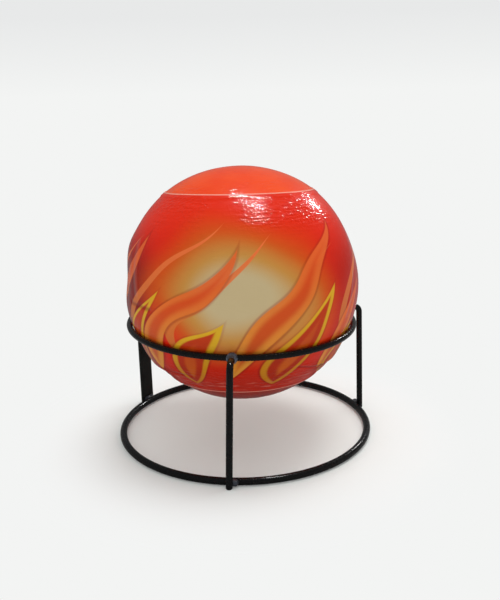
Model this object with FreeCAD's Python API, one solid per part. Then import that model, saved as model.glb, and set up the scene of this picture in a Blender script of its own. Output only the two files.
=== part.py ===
import FreeCAD, Part
import math
import os

# A fire extinguisher ball resting in its welded wire stand. Sizes are millimetres, +Z is up.
# The origin is on the floor, on the axis that the ball and both rings share. -Y is the front.
# Azimuths are degrees from the front, positive towards +X.

# Ball
ball_dia = 150.0
film_thick = 0.3            # printed shrink film
sleeve_edge_deg = 51.8      # latitude of the film sleeve's two cut edges
film_lap = 4.0              # the end caps reach this far under the sleeve
foam_wall = 8.5
lip_height = 5.0            # tongue of the upper foam half, inside the rim of the lower half
fuse_dia = 2.2
fuse_loops = 2              # fuse circles over the poles, evenly turned
fuse_turn_deg = 45.0        # azimuth of the first fuse cord
junction_dia = 12.0         # taped knot where the fuse cords meet at each pole
junction_thick = 2.6
lead_dia = 2.5              # fuse from each knot to the charge
lead_bite = 3.0             # length of the lead inside the charge
tube_dia = 18.0             # card tube of the burst charge
tube_wall = 2.0
tube_length = 44.0
plug_depth = 6.0
plug_rim_dia = 22.0
plug_rim_thick = 1.5
fit_gap = 0.1               # clearance between the ball's layers and pieces
ball_lean_deg = 3.9         # the ball lies in the ring with its poles a little off the upright
ball_lean_towards_deg = 180.0

# Stand
seat_latitude_deg = 19.25   # the ring touches the ball this far below its equator
floor_clearance = 25.95      # from the floor to the ball's lowest point
upper_wire_dia = 3.8
ring_tilt_deg = 1.4         # the upper ring was welded on a little off level
ring_tilt_towards_deg = 60.0   # azimuth of its lowest point
base_wire_dia = 4.5
base_flare = 9.1            # the base ring's centre line lies this far outside the upper ring's
base_lift = 0.25             # the base ring is held this far off the floor by the feet
leg_wire_dia = 4.0
leg_bend_radius = 4.0       # on the wire's centre line
foot_round = 0.8
front_leg_foot_deg = -6.2   # the wire legs were welded on a little out of true
front_leg_top_deg = -4.5
right_leg_foot_deg = 108.5
right_leg_top_deg = 110.5
strap_deg = -122.2
strap_width = 11.5
strap_thick = 2.0
strap_corner = 0.4
strap_bend_radius = 3.5     # on the strip's middle
screw_hole_dia = 5.0
screw_hole_drop = 15.0      # from the upper ring's centre line down to the hole
weld_gap = 0.2              # between welded pieces, filled by the weld metal
weld_flare = 1.3            # height of the weld collar over a leg's wire
weld_reach = 3.0            # length of the weld collar along a leg
bead_run = 0.8              # straight part of a weld bead, between its round ends
bead_width = 4.4
strap_bead_run = 5.0
strap_bead_width = 4.0

# Derived from the sizes above
ball_r = ball_dia / 2
foam_r = ball_r - film_thick - fit_gap
cavity_r = foam_r - foam_wall
sleeve_edge_r = foam_r + 2 * (film_thick + fit_gap)
fuse_path_r = foam_r - fuse_dia / 2 - fit_gap
junction_top = math.sqrt(foam_r ** 2 - (junction_dia / 2) ** 2) - fit_gap
junction_bottom = junction_top - junction_thick
tube_half = tube_length / 2
charge_half = tube_half - plug_depth - fit_gap

seat_r = ball_r + fit_gap + upper_wire_dia / 2
seat = math.radians(seat_latitude_deg)
upper_ring_r = seat_r * math.cos(seat)
ball_z = floor_clearance + ball_r
upper_ring_z = ball_z - seat_r * math.sin(seat)
base_ring_r = upper_ring_r + base_flare
base_ring_z = base_lift + base_wire_dia / 2
base_outer_r = base_ring_r + base_wire_dia / 2
joint_reach = upper_wire_dia / 2 + weld_gap
leg_r = base_outer_r + weld_gap + leg_wire_dia / 2
strap_r = base_outer_r + weld_gap + strap_thick / 2
screw_hole_z = upper_ring_z - screw_hole_drop

Z_AXIS = FreeCAD.Vector(0, 0, 1)
BALL_CENTRE = FreeCAD.Vector(0, 0, ball_z)


def outward(azimuth):
    """Level unit vector away from the axis."""
    turn = math.radians(azimuth)
    return FreeCAD.Vector(math.sin(turn), -math.cos(turn), 0)


def sideways(azimuth):
    """Level unit vector round the axis, towards rising azimuth."""
    return Z_AXIS.cross(outward(azimuth))


def at(azimuth, radius, height):
    """The point at an azimuth, a distance from the axis and a height over the floor."""
    return outward(azimuth) * radius + Z_AXIS * height


def ring_joint(azimuth):
    """The point at an azimuth on the centre line of the tilted upper ring, whose axis runs through
    the ball's centre."""
    tilt = FreeCAD.Rotation(sideways(ring_tilt_towards_deg), ring_tilt_deg)
    normal = tilt.multVec(Z_AXIS)
    ring_centre = BALL_CENTRE + normal * (upper_ring_z - ball_z)
    across = outward(azimuth)
    along = across - Z_AXIS * (normal.dot(across) / normal.z)
    start = Z_AXIS * (normal.dot(ring_centre) / normal.z) - ring_centre
    middle = -along.dot(start) / along.dot(along)
    half = math.sqrt(middle ** 2 - (start.dot(start) - upper_ring_r ** 2) / along.dot(along))
    return ring_centre + start + along * (middle + half)


# Solids turned about the ball's axis

def polar(radius, latitude):
    """A corner on a sphere about the ball's centre, as (distance from the axis, height)."""
    return (radius * math.cos(latitude), radius * math.sin(latitude))


def turned(corners):
    """A solid turned about the ball's axis. Each corner is (point, edge), where the edge to the next
    corner is "line", or "arc" for an arc about the ball's centre."""
    edges = []
    for index, ((x, z), kind) in enumerate(corners):
        next_x, next_z = corners[(index + 1) % len(corners)][0]
        start = FreeCAD.Vector(x, 0, z)
        end = FreeCAD.Vector(next_x, 0, next_z)
        if kind == "line":
            edges.append(Part.makeLine(start, end))
        else:
            middle = (start + end).normalize() * math.hypot(x, z)
            edges.append(Part.Arc(start, middle, end).toShape())
    face = Part.Face(Part.Wire(edges))
    solid = face.revolve(FreeCAD.Vector(), Z_AXIS, 360)
    solid.translate(BALL_CENTRE)
    return solid


def cylinder(radius, low, high):
    """An upright cylinder on the ball's axis, with heights counted from the ball's centre."""
    return Part.makeCylinder(radius, high - low, BALL_CENTRE + Z_AXIS * low)


def upside_down(solid):
    """The same piece for the ball's other pole."""
    return solid.mirror(BALL_CENTRE, Z_AXIS)


# Film

def film_sleeve():
    """The shrunk sleeve, which steps out over the rims of the two end caps."""
    edge = math.radians(sleeve_edge_deg)
    lap = edge - film_lap / ball_r
    step = film_thick / ball_r
    inner_r = ball_r - film_thick
    lap_r = sleeve_edge_r - film_thick
    return turned([
        (polar(sleeve_edge_r, -edge), "arc"),
        (polar(sleeve_edge_r, -lap), "line"),
        (polar(ball_r, step - lap), "arc"),
        (polar(ball_r, lap - step), "line"),
        (polar(sleeve_edge_r, lap), "arc"),
        (polar(sleeve_edge_r, edge), "line"),
        (polar(lap_r, edge), "arc"),
        (polar(lap_r, lap), "line"),
        (polar(inner_r, lap - step), "arc"),
        (polar(inner_r, step - lap), "line"),
        (polar(lap_r, -lap), "arc"),
        (polar(lap_r, -edge), "line"),
    ])


def film_cap():
    """The film cap over the upper pole, its rim under the sleeve's edge."""
    edge = math.radians(sleeve_edge_deg)
    rim = edge - (film_lap - film_thick - fit_gap) / ball_r
    inner_r = foam_r + fit_gap
    outer_r = inner_r + film_thick
    pole = math.pi / 2
    return turned([
        (polar(inner_r, rim), "line"),
        (polar(outer_r, rim), "arc"),
        (polar(outer_r, pole), "line"),
        (polar(inner_r, pole), "arc"),
    ])


# Foam shell

def fuse_groove(azimuth):
    """The round-bottomed groove that one fuse circle lies in, open at the foam's surface."""
    half = fuse_dia / 2 + fit_gap
    across = outward(azimuth)
    side = sideways(azimuth)
    path = BALL_CENTRE + across * fuse_path_r
    outside = across * (ball_r - fuse_path_r)
    bottom = Part.Arc(path - side * half, path - across * half, path + side * half).toShape()
    walls = Part.makePolygon([path + side * half, path + side * half + outside,
                              path - side * half + outside, path - side * half])
    profile = Part.Face(Part.Wire([bottom] + walls.Edges))
    return profile.revolve(BALL_CENTRE, side, 360)


def foam_grooves():
    """Everything cut from the outside of both foam halves."""
    cuts = []
    for loop in range(fuse_loops):
        cuts.append(fuse_groove(fuse_turn_deg + loop * 180 / fuse_loops))
    pocket = cylinder(junction_dia / 2 + fit_gap, junction_bottom - fit_gap, ball_r)
    lead_hole = cylinder(lead_dia / 2 + fit_gap, cavity_r / 2, ball_r)
    for cut in (pocket, lead_hole):
        cuts.append(cut)
        cuts.append(upside_down(cut))
    return cuts


def foam_upper_half():
    """The upper half shell, with a tongue below the joint on the cavity side."""
    tongue_r = (foam_r + cavity_r) / 2 - fit_gap
    tongue_end = -math.asin(lip_height / cavity_r)
    tongue_foot = (tongue_r, cavity_r * math.sin(tongue_end))
    pole = math.pi / 2
    shell = turned([
        (polar(foam_r, 0), "arc"),
        (polar(foam_r, pole), "line"),
        (polar(cavity_r, pole), "arc"),
        (polar(cavity_r, tongue_end), "line"),
        (tongue_foot, "line"),
        ((tongue_r, 0), "line"),
    ])
    return shell.cut(foam_grooves())


def foam_lower_half():
    """The lower half shell, rebated for the tongue of the upper one."""
    rebate_r = (foam_r + cavity_r) / 2
    floor = -lip_height - fit_gap
    inner_edge = math.asin(floor / cavity_r)
    pole = -math.pi / 2
    rim = -fit_gap
    shell = turned([
        (polar(foam_r, pole), "arc"),
        (polar(foam_r, math.asin(rim / foam_r)), "line"),
        ((rebate_r, rim), "line"),
        ((rebate_r, floor), "line"),
        (polar(cavity_r, inner_edge), "arc"),
        (polar(cavity_r, pole), "line"),
    ])
    return shell.cut(foam_grooves())


# Fuse

def fuse_cord(azimuth):
    """One fuse cord, from the knot at the upper pole down to the knot at the lower one."""
    across = outward(azimuth)
    start_tilt = math.asin((junction_dia / 2 + fit_gap) / fuse_path_r)
    spoke = Z_AXIS * math.cos(start_tilt) + across * math.sin(start_tilt)
    along = across * math.cos(start_tilt) - Z_AXIS * math.sin(start_tilt)
    circle = Part.Circle(BALL_CENTRE + spoke * fuse_path_r, along, fuse_dia / 2)
    section = Part.Face(Part.Wire([circle.toShape()]))
    sweep_deg = 180 - 2 * math.degrees(start_tilt)
    return section.revolve(BALL_CENTRE, Z_AXIS.cross(across), sweep_deg)


def fuse_junction():
    """The taped knot in its pocket at the upper pole."""
    knot = cylinder(junction_dia / 2, junction_bottom, junction_top)
    return knot.makeFillet(junction_thick / 4, knot.Edges)


def fuse_lead(grow=0.0):
    """The fuse from the upper knot down into the charge, or the room for it."""
    end = charge_half - lead_bite
    return cylinder(lead_dia / 2 + grow, end - grow, junction_bottom - fit_gap)


# Burst charge

def charge_tube():
    """The open card tube at the ball's centre."""
    tube = cylinder(tube_dia / 2, -tube_half, tube_half)
    return tube.cut(cylinder(tube_dia / 2 - tube_wall, -tube_half, tube_half))


def charge_plug():
    """The upper end plug, with a rim on the tube's end and a hole for the lead."""
    body = cylinder(tube_dia / 2 - tube_wall - fit_gap, tube_half - plug_depth, tube_half + fit_gap)
    rim = cylinder(plug_rim_dia / 2, tube_half + fit_gap, tube_half + fit_gap + plug_rim_thick)
    return body.fuse(rim).removeSplitter().cut(fuse_lead(fit_gap))


def burst_charge():
    """The powder charge in the tube, between the plugs."""
    grain = cylinder(tube_dia / 2 - tube_wall - fit_gap, -charge_half, charge_half)
    room = fuse_lead(fit_gap)
    return grain.cut([room, upside_down(room)])


def powder_fill():
    """The extinguishing powder, which fills the cavity around the charge and the leads."""
    fill = Part.makeSphere(cavity_r - fit_gap, BALL_CENTRE, Z_AXIS)
    tube_room = cylinder(tube_dia / 2 + fit_gap, -tube_half, tube_half)
    rim_room = cylinder(plug_rim_dia / 2 + fit_gap, tube_half, tube_half + plug_rim_thick + 2 * fit_gap)
    lead_room = cylinder(lead_dia / 2 + fit_gap, tube_half, ball_r)
    rooms = [rim_room, lead_room]
    return fill.cut([tube_room] + rooms + [upside_down(room) for room in rooms])


# Stand

def ring(radius, wire_dia, height):
    """A level ring of round wire."""
    return Part.makeTorus(radius, wire_dia / 2, FreeCAD.Vector(0, 0, height), Z_AXIS)


def bent_path(foot, corner, end, bend_radius):
    """A straight run from the foot, one tangent bend at the corner and a straight run to the end."""
    back = (foot - corner).normalize()
    onward = (end - corner).normalize()
    half_turn = back.getAngle(onward) / 2
    reach = bend_radius / math.tan(half_turn)
    centre = corner + (back + onward).normalize() * (bend_radius / math.sin(half_turn))
    bend_start = corner + back * reach
    bend_end = corner + onward * reach
    bend_middle = centre + (corner - centre).normalize() * bend_radius
    return Part.Wire([
        Part.makeLine(foot, bend_start),
        Part.Arc(bend_start, bend_middle, bend_end).toShape(),
        Part.makeLine(bend_end, end),
    ])


def wire_leg(foot_deg, top_deg):
    """A wire leg that stands on the floor and bends in to the upper ring, with a rounded foot."""
    foot = at(foot_deg, leg_r, 0)
    joint = ring_joint(top_deg)
    corner = at(top_deg, leg_r, joint.z)
    path = bent_path(foot, corner, joint + outward(top_deg) * joint_reach, leg_bend_radius)
    section = Part.Wire([Part.Circle(foot, Z_AXIS, leg_wire_dia / 2).toShape()])
    leg = path.makePipeShell([section], True, False)
    foot_edges = [edge for edge in leg.Edges if edge.BoundBox.ZMax < foot_round]
    return leg.makeFillet(foot_round, foot_edges)


def strip_section(centre, azimuth):
    """The strap's section at its foot, a flat strip with eased corners."""
    side = sideways(azimuth)
    out = outward(azimuth)
    half_width = strap_width / 2
    half_thick = strap_thick / 2
    edges = []
    previous = None
    first = None
    for along, deep in ((1, 1), (-1, 1), (-1, -1), (1, -1)):
        corner = centre + side * (along * half_width) + out * (deep * half_thick)
        to_side = side * (-along * strap_corner)
        to_out = out * (-deep * strap_corner)
        start, end = (corner + to_out, corner + to_side) if along == deep else (corner + to_side, corner + to_out)
        middle = corner + (to_side + to_out) * (1 - math.sqrt(0.5))
        if previous is not None:
            edges.append(Part.makeLine(previous, start))
        else:
            first = start
        edges.append(Part.Arc(start, middle, end).toShape())
        previous = end
    edges.append(Part.makeLine(previous, first))
    return Part.Wire(edges)


def back_strap():
    """The flat upright at the back left, bent in to the upper ring, with a screw hole for a wall."""
    foot = at(strap_deg, strap_r, 0)
    joint = ring_joint(strap_deg)
    corner = at(strap_deg, strap_r, joint.z)
    path = bent_path(foot, corner, joint + outward(strap_deg) * joint_reach, strap_bend_radius)
    strap = path.makePipeShell([strip_section(foot, strap_deg)], True, False)
    hole_start = at(strap_deg, strap_r - strap_thick, screw_hole_z)
    hole = Part.makeCylinder(screw_hole_dia / 2, 2 * strap_thick, hole_start, outward(strap_deg))
    return strap.cut(hole)


# Welds

def weld_collar(azimuth):
    """Weld metal round a leg's inner end, flaring on to the upper ring."""
    thin = leg_wire_dia / 2 + weld_gap / 2
    wide = leg_wire_dia / 2 + weld_flare
    brim = joint_reach - weld_gap
    end = joint_reach + weld_reach
    out = outward(azimuth)
    joint = ring_joint(azimuth)

    def corner(reach, rise):
        return joint + out * reach + Z_AXIS * rise

    waist = corner(joint_reach + weld_reach / 3, thin + (wide - thin) / 4)
    rim = Part.Arc(corner(brim, wide), waist, corner(end, thin)).toShape()
    rest = Part.makePolygon([corner(end, thin), corner(end, 0), corner(weld_gap, 0),
                             corner(weld_gap, wide), corner(brim, wide)])
    face = Part.Face(Part.Wire([rim] + rest.Edges))
    return face.revolve(joint, out, 360)


def weld_bead(centre, along, run, width):
    """A round-ended bead of weld metal."""
    radius = width / 2
    rise = Z_AXIS * radius
    left = centre - along * (run / 2)
    right = centre + along * (run / 2)
    left_tip = left - along * radius
    right_tip = right + along * radius
    left_shoulder = left + (rise - along * radius) * math.sqrt(0.5)
    right_shoulder = right + (rise + along * radius) * math.sqrt(0.5)
    profile = Part.Wire([
        Part.Arc(left_tip, left_shoulder, left + rise).toShape(),
        Part.makeLine(left + rise, right + rise),
        Part.Arc(right + rise, right_shoulder, right_tip).toShape(),
        Part.makeLine(right_tip, left_tip),
    ])
    return Part.Face(profile).revolve(centre, along, 360)


def upper_welds(upper_ring, front_leg, right_leg, strap):
    """The three welds that hold the uprights to the upper ring."""
    front = weld_collar(front_leg_top_deg).cut([upper_ring, front_leg])
    right = weld_collar(right_leg_top_deg).cut([upper_ring, right_leg])
    strap_joint = ring_joint(strap_deg) + outward(strap_deg) * (joint_reach - weld_gap / 2)
    bead = weld_bead(strap_joint, sideways(strap_deg), strap_bead_run, strap_bead_width)
    return [front, right, bead.cut([upper_ring, strap])]


def leg_bead(azimuth):
    """The bead beside a leg's foot, in the corner between the wire and the base ring."""
    offset = leg_wire_dia / 2 + (bead_run + bead_width) / 6
    corner = at(azimuth, base_outer_r + weld_gap / 2, base_ring_z + base_wire_dia / 8)
    return weld_bead(corner + sideways(azimuth) * offset, sideways(azimuth), bead_run, bead_width)


def base_welds(base_ring, front_leg, right_leg, strap):
    """The three welds that hold the uprights to the base ring."""
    front = leg_bead(front_leg_foot_deg).cut([base_ring, front_leg])
    right = leg_bead(right_leg_foot_deg).cut([base_ring, right_leg])
    strap_joint = at(strap_deg, base_outer_r - strap_thick / 4, base_ring_z + base_wire_dia / 4)
    bead = weld_bead(strap_joint, sideways(strap_deg), strap_bead_run, strap_bead_width)
    return [front, right, bead.cut([base_ring, strap])]


# Nodes

def ball_nodes():
    """Every piece of the ball, by name."""
    nodes = {
        "film_sleeve": film_sleeve(),
        "film_top_cap": film_cap(),
        "film_bottom_cap": upside_down(film_cap()),
        "foam_upper_half": foam_upper_half(),
        "foam_lower_half": foam_lower_half(),
        "fuse_junction_top": fuse_junction(),
        "fuse_junction_bottom": upside_down(fuse_junction()),
        "fuse_lead_top": fuse_lead(),
        "fuse_lead_bottom": upside_down(fuse_lead()),
        "charge_tube": charge_tube(),
        "charge_plug_top": charge_plug(),
        "charge_plug_bottom": upside_down(charge_plug()),
        "burst_charge": burst_charge(),
        "powder_fill": powder_fill(),
    }
    for index in range(2 * fuse_loops):
        azimuth = fuse_turn_deg + index * 180 / fuse_loops
        nodes["fuse_cord_" + str(index + 1)] = fuse_cord(azimuth)
    for shape in nodes.values():
        shape.rotate(BALL_CENTRE, sideways(ball_lean_towards_deg), ball_lean_deg)
    return nodes


def stand_nodes():
    """Every piece of the stand, by name."""
    base_ring = ring(base_ring_r, base_wire_dia, base_ring_z)
    upper_ring = ring(upper_ring_r, upper_wire_dia, upper_ring_z)
    upper_ring.rotate(BALL_CENTRE, sideways(ring_tilt_towards_deg), ring_tilt_deg)
    front_leg = wire_leg(front_leg_foot_deg, front_leg_top_deg)
    right_leg = wire_leg(right_leg_foot_deg, right_leg_top_deg)
    strap = back_strap()
    return {
        "base_ring": base_ring,
        "upper_ring": upper_ring,
        "front_leg": front_leg,
        "right_leg": right_leg,
        "back_strap": strap,
        "upper_welds": Part.makeCompound(upper_welds(upper_ring, front_leg, right_leg, strap)),
        "base_welds": Part.makeCompound(base_welds(base_ring, front_leg, right_leg, strap)),
    }


os.makedirs("parts", exist_ok=True)
for name, shape in {**ball_nodes(), **stand_nodes()}.items():
    shape.exportStep("parts/" + name + ".step")
print("upper ring radius", round(upper_ring_r, 2), "height at the front", round(ring_joint(0).z, 2))
print("base ring radius", round(base_ring_r, 2), "ball centre height", round(ball_z, 2))
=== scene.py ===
import math

import bpy
from mathutils import Matrix, Vector, noise


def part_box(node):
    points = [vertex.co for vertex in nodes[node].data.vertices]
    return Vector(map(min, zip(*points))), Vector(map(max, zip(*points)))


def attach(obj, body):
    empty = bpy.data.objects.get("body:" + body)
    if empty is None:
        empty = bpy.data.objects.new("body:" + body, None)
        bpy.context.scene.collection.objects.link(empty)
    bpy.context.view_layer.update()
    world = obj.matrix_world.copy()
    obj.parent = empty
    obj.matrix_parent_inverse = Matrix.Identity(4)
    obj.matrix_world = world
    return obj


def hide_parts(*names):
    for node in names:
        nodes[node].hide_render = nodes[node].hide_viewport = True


# A fire extinguisher ball in glossy printed shrink film, resting in a black welded wire stand.
# Metres. +Z is up and -Y is the front. Azimuths are degrees from the front, positive towards +X.

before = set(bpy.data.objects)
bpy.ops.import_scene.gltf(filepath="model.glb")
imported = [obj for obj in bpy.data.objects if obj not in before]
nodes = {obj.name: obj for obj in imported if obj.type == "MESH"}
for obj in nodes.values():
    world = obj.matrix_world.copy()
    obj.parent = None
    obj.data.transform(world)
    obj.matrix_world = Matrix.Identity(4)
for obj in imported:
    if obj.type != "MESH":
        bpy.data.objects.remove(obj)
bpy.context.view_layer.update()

sleeve_low, sleeve_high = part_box("film_sleeve")
BALL_CENTRE = Vector((0, 0, (sleeve_low[2] + sleeve_high[2]) / 2))
BALL_R = sleeve_high[0]
BALL_LEAN_DEG = 3.9              # the ball leans straight back
BALL_LEAN = Matrix.Rotation(math.radians(BALL_LEAN_DEG), 3, (-1, 0, 0))
FOAM_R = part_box("foam_upper_half")[1][0]
FOAM_WALL = 0.0085
FOAM_SOFT_DEPTH = 0.003          # the dents fade out below this depth of the foam
FOAM_PRESS = 1.1                 # the foam gives way a little more than the film over it
FILM_THICK = 0.0003
SLEEVE_EDGE_DEG = 51.8
SLEEVE_EDGE_RISE = 0.0004        # the sleeve steps out this far over the caps' rims
LAP_START_DEG = 48.4
LAP_END_DEG = 49.3
CAP_RIM_DEG = 49.1
SEAT_DEG = -19.25                # latitude of the ring's contact
SEAT_SPREAD_DEG = 7.0            # bulges fade out this near to the contact
FILM_COLUMNS = 360
SLEEVE_ROWS = 118
CAP_ROWS = 46
SHARP_DEG = 40                   # edges that turn more than this are drawn sharp

# Where the shrunk ball departs from a true sphere: soft dents, shoulders and creases.
# "turn" and "rise" place the middle on the upright sphere, "wide" and "tall" are half sizes in degrees.
DENTS = [
    {"turn": -82.4, "rise": 5.0, "wide": 15.0, "tall": 9.5, "depth": -0.0021},
    {"turn": -71.0, "rise": 4.0, "wide": 3.0, "tall": 13.0, "depth": -0.0004},
    {"turn": -86.0, "rise": 22.0, "wide": 14.0, "tall": 6.0, "depth": 0.0006},
    {"turn": -68.0, "rise": -35.0, "wide": 16.0, "tall": 8.0, "depth": 0.0012},
    {"turn": 66.0, "rise": -37.0, "wide": 14.0, "tall": 8.0, "depth": 0.0007},
    {"turn": 61.0, "rise": -34.5, "wide": 6.0, "tall": 2.2, "depth": 0.0006},
    {"turn": 61.0, "rise": -39.5, "wide": 8.0, "tall": 2.6, "depth": -0.0008},
    {"turn": -62.0, "rise": -36.5, "wide": 6.0, "tall": 2.2, "depth": 0.0004},
    {"turn": -62.0, "rise": -41.5, "wide": 8.0, "tall": 2.6, "depth": -0.0005},
    {"turn": 86.0, "rise": 21.0, "wide": 20.0, "tall": 15.0, "depth": -0.0008},
    {"turn": -178.0, "rise": 12.0, "wide": 24.0, "tall": 14.0, "depth": -0.0009},
    {"turn": 142.0, "rise": -5.0, "wide": 9.0, "tall": 18.0, "depth": -0.0006},
]
TOP_FLAT_DEPTH = -0.0009
TOP_FLAT_DEG = 24.0
WAVER = 0.00022                  # height of the foam's slow unevenness
WAVER_FREQUENCY = 3.1            # its waves, to one radius of the ball
CREASE_DEG = -45.6               # a faint crease runs round above the sleeve's lower edge
CREASE_WIDTH_DEG = 1.4
CREASE_DEPTH = 0.00035

# Pinched folds of the film, each along an arc between two places on the leaning ball.
# A place is its azimuth and latitude. "half" is the fold's half width in degrees.
FOLDS = [
    {"start": (30.0, -34.0), "end": (58.0, -38.5), "half": 1.3, "height": -1.7},
    {"start": (-57.0, -38.0), "end": (-36.0, -39.5), "half": 1.2, "height": -1.4},
    {"start": (-64.0, -3.4), "end": (-44.0, -4.6), "half": 2.2, "height": -1.5},
    {"start": (-62.0, 27.0), "end": (-55.0, -1.0), "half": 3.2, "height": 1.9},
    {"start": (-60.0, -45.6), "end": (-26.0, -46.6), "half": 1.3, "height": 1.5},
    {"start": (22.0, -46.8), "end": (62.0, -45.4), "half": 1.3, "height": 1.5},
    {"start": (58.0, -14.0), "end": (66.0, 10.0), "half": 2.4, "height": 1.3},
    {"start": (112.0, 18.0), "end": (124.0, -8.0), "half": 2.4, "height": 1.4},
    {"start": (168.0, 30.0), "end": (-172.0, 22.0), "half": 1.8, "height": -1.4},
    {"start": (-140.0, -22.0), "end": (-120.0, -30.0), "half": 2.0, "height": 1.5},
]


# Shape of the ball

def direction(turn_deg, rise_deg):
    """Unit vector from the ball's centre at an azimuth and a latitude."""
    turn = math.radians(turn_deg)
    rise = math.radians(rise_deg)
    level = math.cos(rise)
    return Vector((math.sin(turn) * level, -math.cos(turn) * level, math.sin(rise)))


def smooth_step(value, low, high):
    """Runs smoothly from 0 at low to 1 at high."""
    share = min(1.0, max(0.0, (value - low) / (high - low)))
    return share * share * (3 - 2 * share)


def bearings(spoke):
    """Azimuth and latitude of a unit vector, in degrees."""
    turn = math.degrees(math.atan2(spoke.x, -spoke.y))
    return turn, math.degrees(math.asin(max(-1.0, min(1.0, spoke.z))))


def dent_offset(dent, turn_deg, rise_deg):
    """A dent's share of the offset: its depth in the middle, fading out over its half sizes."""
    across = (turn_deg - dent["turn"] + 180) % 360 - 180
    across *= math.cos(math.radians(rise_deg))
    up = rise_deg - dent["rise"]
    spread = (across / dent["wide"]) ** 2 + (up / dent["tall"]) ** 2
    return dent["depth"] * math.exp(-spread)


def crease_offset(spoke):
    """The crease above the sleeve's lower edge, deepest at the two sides of the leaning ball."""
    turn_deg, rise_deg = bearings(BALL_LEAN.inverted() @ spoke)
    foot_deg = CREASE_DEG - CREASE_WIDTH_DEG
    crease = smooth_step(rise_deg, foot_deg, CREASE_DEG) - 1
    crease *= smooth_step(rise_deg, -SLEEVE_EDGE_DEG, foot_deg)
    return CREASE_DEPTH * crease * math.sin(math.radians(turn_deg)) ** 2


def film_offset(spoke):
    """How far the surface stands off a true sphere along a unit vector from the ball's centre."""
    turn_deg, rise_deg = bearings(spoke)
    offset = sum(dent_offset(dent, turn_deg, rise_deg) for dent in DENTS)
    offset += TOP_FLAT_DEPTH * math.exp(-((90 - rise_deg) / TOP_FLAT_DEG) ** 2)
    offset += WAVER * noise.noise(spoke * WAVER_FREQUENCY)
    offset += crease_offset(spoke)
    seat_share = math.exp(-((rise_deg - SEAT_DEG) / SEAT_SPREAD_DEG) ** 2)
    return min(offset, offset * (1 - seat_share))


def on_ball(turn_deg, rise_deg, radius):
    """A point on the uneven leaning ball, at its own azimuth and latitude. radius is its true sphere."""
    spoke = BALL_LEAN @ direction(turn_deg, rise_deg)
    return BALL_CENTRE + spoke * (radius + film_offset(spoke))


def sleeve_radius(rise_deg):
    """Outer radius of the sleeve, which steps out over the caps' rims."""
    return BALL_R + SLEEVE_EDGE_RISE * smooth_step(abs(rise_deg), LAP_START_DEG, LAP_END_DEG)


def cap_radius(rise_deg):
    """Outer radius of an end cap, the same all over."""
    return BALL_R


# Pieces

def new_piece(name, points, faces, slot, replaced):
    """A mesh piece in the row frame that rides on the body and stands for a CAD node."""
    mesh = bpy.data.meshes.new(name)
    mesh.from_pydata(points, [], faces)
    mesh.validate()
    mesh.shade_smooth()
    mesh.set_sharp_from_angle(angle=math.radians(SHARP_DEG))
    mesh.materials.append(materials[slot])
    piece = bpy.data.objects.new(name, mesh)
    bpy.context.scene.collection.objects.link(piece)
    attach(piece, "root")
    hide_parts(replaced)


def film_skin(latitudes, radius_at, inset):
    """Rows of points round the ball. A row at a pole is one point."""
    rows = []
    for rise in latitudes:
        radius = radius_at(rise) - inset
        if abs(rise) > 89.99:
            rows.append([on_ball(0, rise, radius)])
            continue
        row = []
        for column in range(FILM_COLUMNS):
            turn = column * 360 / FILM_COLUMNS - 180
            row.append(on_ball(turn, rise, radius))
        rows.append(row)
    return rows


def joined(lower, upper, flipped):
    """Faces between two rows of point numbers that run round the ball."""
    faces = []
    count = max(len(lower), len(upper))
    for here in range(count):
        after = (here + 1) % count
        if len(upper) == 1:
            face = (lower[here], lower[after], upper[0])
        elif len(lower) == 1:
            face = (lower[0], upper[after], upper[here])
        else:
            face = (lower[here], lower[after], upper[after], upper[here])
        faces.append(tuple(reversed(face)) if flipped else face)
    return faces


def film_piece(name, latitudes, radius_at, slot, node):
    """A closed film shell over a range of latitudes, given from low to high."""
    points = []
    numbered = []
    for inset in (0.0, FILM_THICK):
        side = []
        for row in film_skin(latitudes, radius_at, inset):
            side.append(list(range(len(points), len(points) + len(row))))
            points.extend(row)
        numbered.append(side)
    outer, inner = numbered
    faces = []
    for row in range(len(latitudes) - 1):
        faces += joined(outer[row], outer[row + 1], False)
        faces += joined(inner[row], inner[row + 1], True)
    if len(outer[0]) > 1:
        faces += joined(inner[0], outer[0], False)
    if len(outer[-1]) > 1:
        faces += joined(outer[-1], inner[-1], False)
    new_piece(name, points, faces, slot, node)


def even(low, high, count):
    """Evenly spaced values from low to high."""
    return [low + (high - low) * step / count for step in range(count + 1)]


def shrunk_copy(node, slot):
    """A CAD piece of the shell, pressed in where the film is, and unmoved at the cavity."""
    source = nodes[node].data
    points = []
    for vertex in source.vertices:
        radius = (vertex.co - BALL_CENTRE).length
        spoke = (vertex.co - BALL_CENTRE).normalized()
        share = smooth_step(radius, FOAM_R - FOAM_WALL, FOAM_R - FOAM_SOFT_DEPTH)
        points.append(vertex.co + spoke * min(0.0, film_offset(spoke)) * FOAM_PRESS * share)
    faces = [tuple(face.vertices) for face in source.polygons]
    new_piece("shrunk_" + node, points, faces, slot, node)


# Materials

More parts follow.
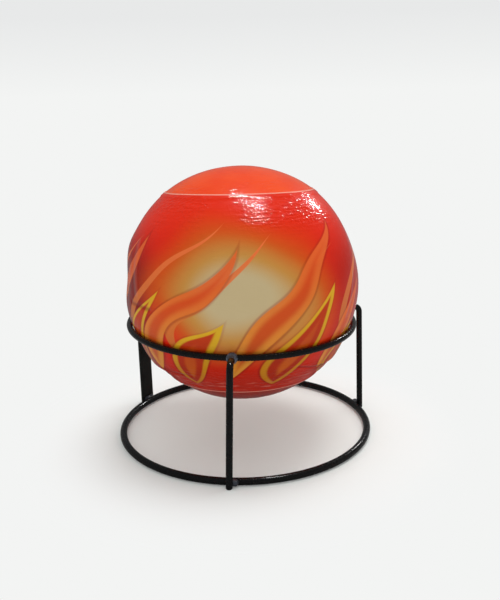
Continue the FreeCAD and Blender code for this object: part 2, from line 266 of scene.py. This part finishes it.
FILM_ROUGHNESS = 0.34
FILM_COAT = 0.5
FILM_SHINE = 0.05                # the mirroring of the print under the clear gloss
COAT_ROUGHNESS = 0.05
WIRE_SHINE = 0.10
WIRE_COAT = 0.4
SLEEVE_WRINKLE = 0.26            # strengths of the wrinkles' relief
CAP_WRINKLE = 0.20
WRINKLE_HEIGHT = 0.0012          # in metres, at a strength of 1
SLEEVE_CROWD_DEG = 44.0          # the wrinkles crowd near this latitude, north and south
CAP_CROWD_DEG = 50.0
CREASE_HIGHLIGHT_DEG = -45.5          # painted highlights, in pale streaks, lie along the crease
MARGIN_DEG = SLEEVE_EDGE_DEG - 0.75
GLOW_WIDE = 0.92                 # half sizes of a glow, to one radius of the ball
GLOW_TALL = 0.62
PAINTED_SHADE_SIDE = 0.88                 # the painted shade is darkest this far aside, to one radius of the ball
LEFT_PAINTED_SHADE = 0.95
RIGHT_PAINTED_SHADE = 0.45
LICK_WAVE_DEG = 42               # a lick curls one way over this many degrees


def shade(red, green, blue):
    """A colour given as screen values from 0 to 255."""
    def linear(value):
        value /= 255
        return value / 12.92 if value <= 0.04045 else ((value + 0.055) / 1.055) ** 2.4
    return (linear(red), linear(green), linear(blue), 1.0)


RED = shade(228, 34, 6)
LOW_RED = shade(190, 34, 10)
HIGH_RED = shade(238, 44, 12)
# painted shade at the ball's sides
PAINTED_SHADE_RED = shade(130, 17, 6)
# Painted highlight on raised folds and along the crease, and painted shade along sunken folds.
PAINTED_HIGHLIGHT = shade(236, 140, 122)
PAINTED_FOLD_SHADE = shade(124, 12, 5)
MARGIN = shade(250, 170, 150)

GLOWS_AT = [(2.0, 8.0), (182.0, 8.0)]    # azimuth and latitude of the two glows
GLOW_BANDS = [
    {"outer": 1.04, "inner": 0.60, "tone": shade(214, 98, 26)},
    {"outer": 0.78, "inner": 0.42, "tone": shade(206, 148, 70)},
    {"outer": 0.50, "inner": 0.18, "tone": shade(204, 184, 140)},
]

# Rings of flame licks, from the back to the front. "foot" is the licks' lowest latitude and "reach" the
# longest lick's height in degrees. "lean" and "curl" bend the licks, in shares of their spacing.
# A band starts at its depth inside a lick, in the same shares. Its strengths are at the foot and the tip.
THIN_LICKS = {
    "count": 9, "phase": 0.30, "lean": -0.62, "curl": 0.26,
    "foot": -26.0, "reach": 80.0, "fullness": 0.30, "seed": 41.0,
    "bands": [
        {"depth": 0.0, "soft": 0.015, "strengths": (0.75, 0.95),
         "foot_tone": shade(214, 128, 52), "tip_tone": shade(240, 118, 60)},
    ],
}
TALL_LICKS = {
    "count": 7, "phase": 0.62, "lean": -0.42, "curl": 0.16,
    "foot": -40.0, "reach": 90.0, "fullness": 0.72, "seed": 3.0,
    "bands": [
        {"depth": 0.0, "soft": 0.035, "strengths": (0.55, 0.35),
         "foot_tone": shade(150, 20, 6), "tip_tone": shade(160, 20, 6)},
        {"depth": 0.035, "soft": 0.02, "strengths": (0.95, 0.90),
         "foot_tone": shade(226, 150, 52), "tip_tone": shade(238, 104, 44)},
        {"depth": 0.075, "soft": 0.10, "strengths": (0.85, 0.70),
         "foot_tone": shade(196, 60, 14), "tip_tone": shade(226, 66, 20)},
    ],
}
SHORT_LICKS = {
    "count": 8, "phase": 0.12, "lean": -0.36, "curl": 0.20,
    "foot": -46.0, "reach": 60.0, "fullness": 0.88, "seed": 19.0,
    "bands": [
        {"depth": 0.0, "soft": 0.03, "strengths": (0.6, 0.2),
         "foot_tone": shade(140, 16, 6), "tip_tone": shade(160, 20, 6)},
        {"depth": 0.03, "soft": 0.02, "strengths": (0.95, 0.95),
         "foot_tone": shade(196, 124, 16), "tip_tone": shade(226, 178, 34)},
        {"depth": 0.085, "soft": 0.03, "strengths": (0.95, 0.95),
         "foot_tone": shade(168, 22, 8), "tip_tone": shade(196, 40, 12)},
        {"depth": 0.16, "soft": 0.06, "strengths": (0.75, 0.3),
         "foot_tone": shade(206, 104, 24), "tip_tone": shade(214, 90, 24)},
    ],
}

# Plain materials. "scale" is the mottling's size and "relief" its height, both in metres.
FINISHES = {
    "foam": {"light": shade(244, 244, 240), "dark": shade(226, 226, 222),
             "scale": 0.003, "roughness": 0.8, "relief": 0.0004},
    "fuse": {"light": shade(78, 88, 66), "dark": shade(40, 48, 34),
             "scale": 0.0006, "roughness": 0.75, "relief": 0.0003},
    "fuse_tape": {"light": shade(214, 196, 156), "dark": shade(188, 168, 126),
                  "scale": 0.002, "roughness": 0.7, "relief": 0.0001},
    "charge_card": {"light": shade(150, 118, 82), "dark": shade(122, 92, 60),
                    "scale": 0.002, "roughness": 0.8, "relief": 0.0002},
    "charge_plug": {"light": shade(226, 224, 214), "dark": shade(208, 206, 196),
                    "scale": 0.002, "roughness": 0.45, "relief": 0.00005},
    "burst_powder": {"light": shade(62, 62, 64), "dark": shade(38, 38, 40),
                     "scale": 0.0008, "roughness": 0.85, "relief": 0.0003},
    "dry_powder": {"light": shade(238, 230, 196), "dark": shade(222, 212, 172),
                   "scale": 0.0008, "roughness": 0.95, "relief": 0.0002},
    "black_wire": {"light": shade(17, 17, 18), "dark": shade(9, 9, 10),
                   "scale": 0.0012, "roughness": 0.26, "relief": 0.00002,
                   "shine": WIRE_SHINE, "coat": WIRE_COAT},
    "black_strip": {"light": shade(28, 30, 28), "dark": shade(18, 20, 19),
                    "scale": 0.0015, "roughness": 0.42, "relief": 0.00005,
                    "shine": WIRE_SHINE, "coat": 0.5 * WIRE_COAT},
    # The welds are one weld metal, painted paler on the upper welds as a painted highlight and darker on
    # the base welds as a painted shade.
    "weld": {"light": shade(92, 100, 114), "dark": shade(26, 29, 34),
             "scale": 0.0016, "roughness": 0.36, "relief": 0.0005},
    "dark_weld": {"light": shade(58, 64, 74), "dark": shade(15, 17, 20),
                  "scale": 0.0016, "roughness": 0.36, "relief": 0.0005},
}

# CAD nodes that keep their shape, by the material that dresses them.
DRESSED = {
    "fuse": ["fuse_lead_top", "fuse_lead_bottom"],
    "charge_card": ["charge_tube"],
    "charge_plug": ["charge_plug_top", "charge_plug_bottom"],
    "burst_powder": ["burst_charge"],
    "dry_powder": ["powder_fill"],
    "black_wire": ["base_ring", "upper_ring", "front_leg", "right_leg"],
    "black_strip": ["back_strap"],
    "weld": ["upper_welds"],
    "dark_weld": ["base_welds"],
}


class Nodes:
    """Adds nodes to a node tree. Each call gives back the new node's output."""

    def __init__(self, tree):
        self.tree = tree

    def node(self, kind, **settings):
        """The new node itself."""
        made = self.tree.nodes.new(kind)
        for key, value in settings.items():
            setattr(made, key, value)
        return made

    def put(self, socket, value):
        """Links an output to a socket, or sets the socket to a plain value."""
        if isinstance(value, bpy.types.NodeSocket):
            self.tree.links.new(value, socket)
        else:
            socket.default_value = value

    def math(self, operation, *values, clamp=False):
        made = self.node("ShaderNodeMath", operation=operation, use_clamp=clamp)
        for socket, value in zip(made.inputs, values):
            self.put(socket, value)
        return made.outputs[0]

    def vector(self, operation, *values):
        made = self.node("ShaderNodeVectorMath", operation=operation)
        for socket, value in zip(made.inputs, values):
            self.put(socket, value)
        return made.outputs["Value" if operation in ("LENGTH", "DOT_PRODUCT") else "Vector"]

    def step(self, value, low, high, start=0.0, end=1.0, shape="SMOOTHSTEP"):
        """Runs from start at low to end at high."""
        made = self.node("ShaderNodeMapRange", interpolation_type=shape)
        for socket, given in zip(made.inputs, (value, low, high, start, end)):
            self.put(socket, given)
        return made.outputs[0]

    def mix(self, share, first, second):
        made = self.node("ShaderNodeMix", data_type="RGBA")
        self.put(made.inputs[0], share)
        self.put(made.inputs[6], first)
        self.put(made.inputs[7], second)
        return made.outputs[2]

    def noise(self, place, scale, detail=2.0, roughness=0.5):
        made = self.node("ShaderNodeTexNoise")
        self.put(made.inputs["Vector"], place)
        made.inputs["Scale"].default_value = scale
        made.inputs["Detail"].default_value = detail
        made.inputs["Roughness"].default_value = roughness
        return made.outputs["Fac"]

    def join(self, x, y, z):
        made = self.node("ShaderNodeCombineXYZ")
        for socket, value in zip(made.inputs, (x, y, z)):
            self.put(socket, value)
        return made.outputs[0]

    def split(self, place):
        """The three outputs x, y and z."""
        made = self.node("ShaderNodeSeparateXYZ")
        self.put(made.inputs[0], place)
        return made.outputs

    def blend(self, share, first, second):
        """Two shaders mixed."""
        made = self.node("ShaderNodeMixShader")
        for socket, value in zip(made.inputs, (share, first, second)):
            self.put(socket, value)
        return made.outputs[0]

    def background(self, colour, strength):
        made = self.node("ShaderNodeBackground")
        self.put(made.inputs["Color"], colour)
        self.put(made.inputs["Strength"], strength)
        return made.outputs[0]


class Paint(Nodes):
    """One surface material and its nodes."""

    def __init__(self, name, roughness, coat=0.0):
        self.material = bpy.data.materials.new(name)
        self.material.use_nodes = True
        super().__init__(self.material.node_tree)
        self.shader = self.tree.nodes["Principled BSDF"]
        self.shader.inputs["Roughness"].default_value = roughness
        self.shader.inputs["Coat Weight"].default_value = coat
        self.shader.inputs["Coat Roughness"].default_value = COAT_ROUGHNESS
        self.place = self.node("ShaderNodeTexCoord").outputs["Object"]

    def bump(self, height, strength, distance):
        """Relief under the shader, and under its clear coat if it has one."""
        made = self.node("ShaderNodeBump")
        self.put(made.inputs["Height"], height)
        self.put(made.inputs["Strength"], strength)
        made.inputs["Distance"].default_value = distance
        self.tree.links.new(made.outputs[0], self.shader.inputs["Normal"])
        if self.shader.inputs["Coat Weight"].default_value > 0:
            self.tree.links.new(made.outputs[0], self.shader.inputs["Coat Normal"])

    def on_ball(self):
        """The unit vector from the ball's centre, and its azimuth and latitude on the leaning ball."""
        spoke = self.vector("NORMALIZE", self.vector("SUBTRACT", self.place, tuple(BALL_CENTRE)))
        right, back, up = (tuple(BALL_LEAN.col[axis]) for axis in range(3))
        x = self.vector("DOT_PRODUCT", spoke, right)
        front = self.math("MULTIPLY", self.vector("DOT_PRODUCT", spoke, back), -1.0)
        turn = self.math("DEGREES", self.math("ARCTAN2", x, front))
        rise = self.math("DEGREES", self.math("ARCSINE", self.vector("DOT_PRODUCT", spoke, up)))
        return spoke, turn, rise


def ground(paint, spoke, rise):
    """Red ground: deeper low down and warmer high up, with painted shade darkening it towards the sides,
    more on the left.
    """
    colour = paint.mix(paint.step(rise, -16.0, -44.0), RED, LOW_RED)
    colour = paint.mix(paint.step(rise, 14.0, 46.0), colour, HIGH_RED)
    aside = paint.vector("DOT_PRODUCT", spoke, tuple(BALL_LEAN.col[0]))
    # Painted shade: darker towards both sides, more on the left, fading out high up.
    for far_side, strength in ((-PAINTED_SHADE_SIDE, LEFT_PAINTED_SHADE), (PAINTED_SHADE_SIDE, RIGHT_PAINTED_SHADE)):
        painted_shade = paint.step(aside, far_side * 0.61, far_side, 0.0, strength)
        painted_shade = paint.math("MULTIPLY", painted_shade, paint.step(rise, 36.0, 8.0))
        colour = paint.mix(painted_shade, colour, PAINTED_SHADE_RED)
    return colour


def glows(paint, colour, spoke, warp):
    """Soft amber and cream glows at the front and the back, over a colour."""
    for place in GLOWS_AT:
        shift = paint.vector("SUBTRACT", spoke, tuple(direction(*place)))
        scaled = paint.vector("MULTIPLY", shift, (1 / GLOW_WIDE, 1 / GLOW_WIDE, 1 / GLOW_TALL))
        away = paint.math("SUBTRACT", paint.vector("LENGTH", scaled), 0.25)
        away = paint.math("MULTIPLY_ADD", warp, 0.5, away)
        for band in GLOW_BANDS:
            share = paint.step(away, band["outer"], band["inner"])
            colour = paint.mix(share, colour, band["tone"])
    return colour


def licks(paint, turn, rise, ring):
    """A ring of leaf-shaped flame licks: how far inside a point lies, in shares of a lick's spacing,
    and how far up its lick. A lick starts in a point at the foot's latitude, is fullest low down and
    ends in a long tip. Heights and places differ from lick to lick."""
    above = paint.math("SUBTRACT", rise, ring["foot"])
    wave = paint.math("SINE", paint.math("MULTIPLY", above, math.pi / LICK_WAVE_DEG))
    along = paint.math("MULTIPLY_ADD", turn, ring["count"] / 360, ring["phase"])
    along = paint.math("MULTIPLY_ADD", above, ring["lean"] / 30, along)
    along = paint.math("MULTIPLY_ADD", wave, ring["curl"], along)
    number = paint.math("FLOORED_MODULO", paint.math("FLOOR", along), float(ring["count"]))
    random = paint.node("ShaderNodeTexWhiteNoise", noise_dimensions="1D")
    paint.put(random.inputs["W"], paint.math("ADD", number, ring["seed"]))
    drawn = paint.node("ShaderNodeSeparateColor")
    paint.put(drawn.inputs[0], random.outputs["Color"])
    height = paint.math("MULTIPLY_ADD", drawn.outputs[0], ring["reach"] * 0.45, ring["reach"] * 0.55)
    share = paint.math("DIVIDE", above, height, clamp=True)
    swell = paint.math("POWER", share, 0.7)
    taper = paint.math("POWER", paint.math("SUBTRACT", 1.0, share), 1.15)
    half = paint.math("MULTIPLY", paint.math("MULTIPLY", swell, taper), ring["fullness"])
    centre = paint.math("MULTIPLY_ADD", drawn.outputs[1], 0.16, 0.42)
    away = paint.math("ABSOLUTE", paint.math("SUBTRACT", paint.math("FRACT", along), centre))
    return paint.math("SUBTRACT", half, away), share


def lick_bands(paint, colour, inside, share, bands):
    """Paints the nested bands of a ring of licks over a colour."""
    for band in bands:
        edge = paint.step(inside, band["depth"], band["depth"] + band["soft"])
        strength = paint.step(share, 0.1, 0.9, *band["strengths"])
        tone = paint.mix(paint.step(share, 0.05, 0.8), band["foot_tone"], band["tip_tone"])
        colour = paint.mix(paint.math("MULTIPLY", edge, strength), colour, tone)
    return colour


def fold_relief(paint, spoke):
    """The sum of the pinched folds' heights at a point on the ball."""
    relief = 0.0
    for fold in FOLDS:
        start = BALL_LEAN @ direction(*fold["start"])
        end = BALL_LEAN @ direction(*fold["end"])
        across = start.cross(end).normalized()
        middle = (start + end).normalized()
        aside = paint.vector("DOT_PRODUCT", spoke, tuple(across))
        width = math.sin(math.radians(fold["half"]))
        ridge = paint.step(paint.math("ABSOLUTE", aside), width, 0.0)
        reach = middle.dot(start)
        along = paint.step(paint.vector("DOT_PRODUCT", spoke, tuple(middle)), reach, (1 + 2 * reach) / 3)
        height = paint.math("MULTIPLY", ridge, along)
        relief = paint.math("MULTIPLY_ADD", height, fold["height"], relief)
    return relief


def level_streaks(paint, turn, rise):
    """Noise drawn out round the ball, in streaks one to two degrees high."""
    place = paint.join(paint.math("MULTIPLY", turn, 0.10), paint.math("MULTIPLY", rise, 0.62), 0.0)
    return paint.noise(place, 1.0, 1.5)


def film_wrinkles(paint, spoke, turn, rise, crowded_at):
    """Short level wrinkles and pinched dimples of shrunk film, most of them near one latitude."""
    ripples = paint.step(level_streaks(paint, turn, rise), 0.38, 0.66)
    dimples = paint.step(paint.noise(spoke, 40.0, 1.0), 0.46, 0.66)
    patch = paint.step(paint.noise(spoke, 3.4, 1.0), 0.34, 0.62)
    near = paint.math("ABSOLUTE", paint.math("SUBTRACT", paint.math("ABSOLUTE", rise), crowded_at))
    band = paint.step(near, 15.0, 2.0)
    crowd = paint.math("MULTIPLY_ADD", paint.math("MULTIPLY", band, patch), 0.9, 0.10)
    slow = paint.noise(spoke, 7.0, 2.0)
    height = paint.math("MULTIPLY_ADD", dimples, 0.8, paint.math("MULTIPLY", ripples, 1.2))
    return paint.math("MULTIPLY_ADD", slow, 0.55, paint.math("MULTIPLY", height, crowd))


def painted_light_and_margin(paint, colour, turn, rise, folds):
    """Painted highlights in pale streaks along the crease and on raised folds, painted shade along sunken
    folds, and the pale margin at the cut edges.
    """
    # Painted highlight: pale streaks along the crease.
    streaks = paint.step(level_streaks(paint, turn, rise), 0.54, 0.70)
    from_crease = paint.math("ABSOLUTE", paint.math("SUBTRACT", rise, CREASE_HIGHLIGHT_DEG))
    crease = paint.step(from_crease, 5.0, 1.0, 0.0, 0.45)
    colour = paint.mix(paint.math("MULTIPLY", streaks, crease), colour, PAINTED_HIGHLIGHT)
    # Painted shade along sunken folds, painted highlight on raised folds.
    colour = paint.mix(paint.step(folds, -0.2, -1.7, 0.0, 0.55), colour, PAINTED_FOLD_SHADE)
    colour = paint.mix(paint.step(folds, 0.2, 2.0, 0.0, 0.16), colour, PAINTED_HIGHLIGHT)
    margin = paint.step(paint.math("ABSOLUTE", rise), MARGIN_DEG, MARGIN_DEG + 0.3)
    return paint.mix(margin, colour, MARGIN)


def printed_film():
    """Printed shrink film: red ground, a soft amber and cream glow and layered flame licks, with painted
    shade and highlights at the sides, folds and crease.
    """
    paint = Paint("printed_film", FILM_ROUGHNESS, FILM_COAT)
    paint.shader.inputs["Specular IOR Level"].default_value = FILM_SHINE
    spoke, turn, rise = paint.on_ball()
    warp = paint.noise(spoke, 1.5, 0.0)
    turn_bent = paint.math("MULTIPLY_ADD", warp, 26.0, paint.math("SUBTRACT", turn, 13.0))
    colour = glows(paint, ground(paint, spoke, rise), spoke, warp)
    for ring in (THIN_LICKS, TALL_LICKS, SHORT_LICKS):
        inside, share = licks(paint, turn_bent, rise, ring)
        colour = lick_bands(paint, colour, inside, share, ring["bands"])
    folds = fold_relief(paint, spoke)
    colour = painted_light_and_margin(paint, colour, turn, rise, folds)
    paint.put(paint.shader.inputs["Base Color"], colour)
    wrinkles = film_wrinkles(paint, spoke, turn, rise, SLEEVE_CROWD_DEG)
    paint.bump(paint.math("ADD", wrinkles, folds), SLEEVE_WRINKLE, WRINKLE_HEIGHT)
    return paint.material


def cap_film(name, light, dark):
    """Film of an end cap: one colour, paler and darker in slow clouds."""
    paint = Paint(name, FILM_ROUGHNESS, FILM_COAT)
    paint.shader.inputs["Specular IOR Level"].default_value = FILM_SHINE
    spoke, turn, rise = paint.on_ball()
    cloud = paint.step(paint.noise(spoke, 3.0, 3.0), 0.3, 0.7)
    paint.put(paint.shader.inputs["Base Color"], paint.mix(cloud, dark, light))
    paint.bump(film_wrinkles(paint, spoke, turn, rise, CAP_CROWD_DEG), CAP_WRINKLE, WRINKLE_HEIGHT)
    return paint.material


def mottled(name, light, dark, scale, roughness, relief, shine=0.5, coat=0.0):
    """A plain material with fine mottling and relief."""
    paint = Paint(name, roughness, coat)
    fine = paint.noise(paint.place, 1 / scale, 4.0, 0.6)
    slow = paint.noise(paint.place, 0.18 / scale, 2.0)
    both = paint.math("MULTIPLY_ADD", slow, 0.5, paint.math("MULTIPLY", fine, 0.5))
    paint.put(paint.shader.inputs["Base Color"], paint.mix(paint.step(both, 0.35, 0.65), dark, light))
    uneven = paint.step(fine, 0.3, 0.7, roughness * 0.85, roughness * 1.2)
    paint.put(paint.shader.inputs["Roughness"], uneven)
    paint.shader.inputs["Specular IOR Level"].default_value = shine
    paint.bump(fine, 1.0, relief)
    return paint.material


# Floor, light and camera

WHITE = (1.0, 1.0, 1.0, 1.0)
SCREEN_WHITE = shade(243, 244, 243)
SCREEN_HIGH = shade(232, 233, 233)
SCREEN_RISE = 0.09               # the backdrop turns to its high tone by this slope of view
ROOM_LOW = 0.63                  # light from the room's walls
ROOM_HIGH = 0.70                 # light from straight above
GLOSS_ROOM = 0.19                # how bright the gloss shows the room
GLOSS_FLOOR = 0.27               # how strongly the gloss shows the floor
GLOSS_FLOOR_TONE = shade(20, 20, 20)
FLOOR_HALF = 12.0
FLOOR_LIGHT = shade(248, 248, 247)
FLOOR_DARK = shade(245, 245, 244)
FLOOR_NEAR = shade(241, 247, 240)    # greener under the ball, against its red light
FLOOR_NEAR_R = 0.16
FADE_START_R = 0.07              # painted light: the floor fades into the backdrop's glow between these distances, which fades out the ball's shadow
FADE_END_R = 0.15
# Painted light: this share of the backdrop's glow lies on the floor even under the ball and lightens its
# shadow.
PAINTED_SHADOW_LIFT = 0.06

# "towards" is the direction from the ball to the lamp and "along" that of its long side.
LAMPS = [
    {"name": "tube", "towards": (0.139, 0.093, 1.302), "distance": 1.31, "length": 0.66, "width": 0.05,
     "along": (0.566, -0.369, -0.026), "watts": 15.0, "mirrored": True},
    {"name": "window", "towards": (0.766, 0.853, 0.663), "distance": 1.32, "length": 0.22, "width": 0.035,
     "along": (0.190, 0.020, -0.250), "watts": 2.6, "mirrored": True},
    {"name": "soft_box", "towards": (0.26, 0.22, 0.94), "distance": 1.5, "length": 0.6, "width": 0.6,
     "along": (1, 0, 0), "watts": 7.4, "mirrored": False},
    {"name": "back_light", "towards": (0.2, 0.92, 0.34), "distance": 1.5, "length": 0.9, "width": 0.9,
     "along": (1, 0, 0), "watts": 7.0, "mirrored": False},
    {"name": "front_fill", "towards": (-0.25, -0.7, 0.75), "distance": 1.5, "length": 0.9, "width": 0.9,
     "along": (1, 0, 0), "watts": 1.6, "mirrored": False},
]

CAMERA_PLACE = (0.00523, -0.4796, 0.21945)
CAMERA_DOWN_DEG = 15.25          # the camera looks down by this much
CAMERA_ROLL_DEG = -1.367
CAMERA_LENS = 45.79


def floor():
    """A pale floor, dimmer in the gloss, that fades into the backdrop's tone from close to the ball
    outwards: painted light that lightens and shortens the ball's shadow where the camera sees it.
    """
    paint = Paint("floor", 0.6)
    paint.shader.inputs["Specular IOR Level"].default_value = 0.2
    away = paint.vector("LENGTH", paint.place)
    path = paint.node("ShaderNodeLightPath").outputs
    pale = paint.mix(paint.noise(paint.place, 9.0, 2.0), FLOOR_DARK, FLOOR_LIGHT)
    pale = paint.mix(paint.step(away, FLOOR_NEAR_R, 0.0), pale, FLOOR_NEAR)
    dim = paint.math("MULTIPLY", path["Is Glossy Ray"], 1 - GLOSS_FLOOR)
    paint.put(paint.shader.inputs["Base Color"], paint.mix(dim, pale, GLOSS_FLOOR_TONE))
    # Painted light: as the camera sees it, the backdrop's glow lightens the floor close to the ball and
    # its shadow there.
    fade = paint.step(away, FADE_START_R, FADE_END_R, PAINTED_SHADOW_LIFT, 1.0)
    far = paint.math("MULTIPLY", fade, path["Is Camera Ray"])
    backdrop = paint.node("ShaderNodeEmission")
    backdrop.inputs["Color"].default_value = SCREEN_WHITE
    blend = paint.blend(far, paint.shader.outputs[0], backdrop.outputs[0])
    paint.put(paint.tree.nodes["Material Output"].inputs["Surface"], blend)
    half = FLOOR_HALF
    corners = [(-half, -half, 0), (half, -half, 0), (half, half, 0), (-half, half, 0)]
    mesh = bpy.data.meshes.new("floor")
    mesh.from_pydata(corners, [], [(0, 1, 2, 3)])
    mesh.materials.append(paint.material)
    plane = bpy.data.objects.new("floor", mesh)
    bpy.context.scene.collection.objects.link(plane)


def surroundings():
    """A room lit from above, white where it is seen and dim in the gloss."""
    world = bpy.data.worlds.new("room")
    bpy.context.scene.world = world
    world.use_nodes = True
    sky = Nodes(world.node_tree)
    up = sky.split(sky.node("ShaderNodeTexCoord").outputs["Generated"])["Z"]
    path = sky.node("ShaderNodeLightPath").outputs
    tone = sky.mix(sky.step(up, 0.0, SCREEN_RISE, shape="LINEAR"), SCREEN_WHITE, SCREEN_HIGH)
    strength = sky.step(up, 0.0, 1.0, ROOM_LOW, ROOM_HIGH, shape="LINEAR")
    lit = sky.background(WHITE, strength)
    mirrored = sky.background(WHITE, GLOSS_ROOM)
    unseen = sky.blend(path["Is Glossy Ray"], lit, mirrored)
    seen = sky.background(tone, 1.0)
    blend = sky.blend(path["Is Camera Ray"], unseen, seen)
    sky.put(sky.tree.nodes["World Output"].inputs["Surface"], blend)


def lamp(name, towards, distance, length, width, along, watts, mirrored):
    """An oblong soft lamp that faces the ball, its long side along a direction.
    A mirrored lamp shows in the gloss alone. The others only light."""
    light = bpy.data.lights.new(name, "AREA")
    light.shape = "RECTANGLE"
    light.size = length
    light.size_y = width
    light.energy = watts
    out = Vector(towards).normalized()
    side = (Vector(along) - out * out.dot(Vector(along))).normalized()
    turn = Matrix((side, out.cross(side), out)).transposed()
    lamp_object = bpy.data.objects.new(name, light)
    lamp_object.matrix_world = Matrix.Translation(BALL_CENTRE + out * distance) @ turn.to_4x4()
    lamp_object.visible_glossy = mirrored
    lamp_object.visible_diffuse = not mirrored
    bpy.context.scene.collection.objects.link(lamp_object)


def camera():
    """The photograph's viewpoint."""
    data = bpy.data.cameras.new("camera")
    data.lens = CAMERA_LENS
    view = bpy.data.objects.new("camera", data)
    pitch = Matrix.Rotation(math.radians(90 - CAMERA_DOWN_DEG), 4, "X")
    roll = Matrix.Rotation(math.radians(CAMERA_ROLL_DEG), 4, "Z")
    view.matrix_world = Matrix.Translation(CAMERA_PLACE) @ pitch @ roll
    bpy.context.scene.collection.objects.link(view)
    bpy.context.scene.camera = view


# Build

materials = {name: mottled(name, **finish) for name, finish in FINISHES.items()}
materials["printed_film"] = printed_film()
materials["top_film"] = cap_film("top_film", shade(255, 88, 34), shade(248, 70, 24))
materials["bottom_film"] = cap_film("bottom_film", shade(184, 44, 20), shade(160, 30, 14))

film_piece("ball_sleeve", even(-SLEEVE_EDGE_DEG, SLEEVE_EDGE_DEG, SLEEVE_ROWS), sleeve_radius,
           "printed_film", "film_sleeve")
film_piece("ball_top_cap", even(CAP_RIM_DEG, 90.0, CAP_ROWS), cap_radius, "top_film", "film_top_cap")
film_piece("ball_bottom_cap", even(-90.0, -CAP_RIM_DEG, CAP_ROWS), cap_radius,
           "bottom_film", "film_bottom_cap")
for half in ("upper", "lower"):
    shrunk_copy("foam_" + half + "_half", "foam")
for number in range(1, 5):
    shrunk_copy("fuse_cord_" + str(number), "fuse")
for end in ("bottom", "top"):
    shrunk_copy("fuse_junction_" + end, "fuse_tape")
for material_name, names in DRESSED.items():
    for name in names:
        nodes[name].data.materials.clear()
        nodes[name].data.materials.append(materials[material_name])

floor()
surroundings()
for values in LAMPS:
    lamp(**values)
camera()
bpy.context.scene.view_settings.view_transform = "Standard"
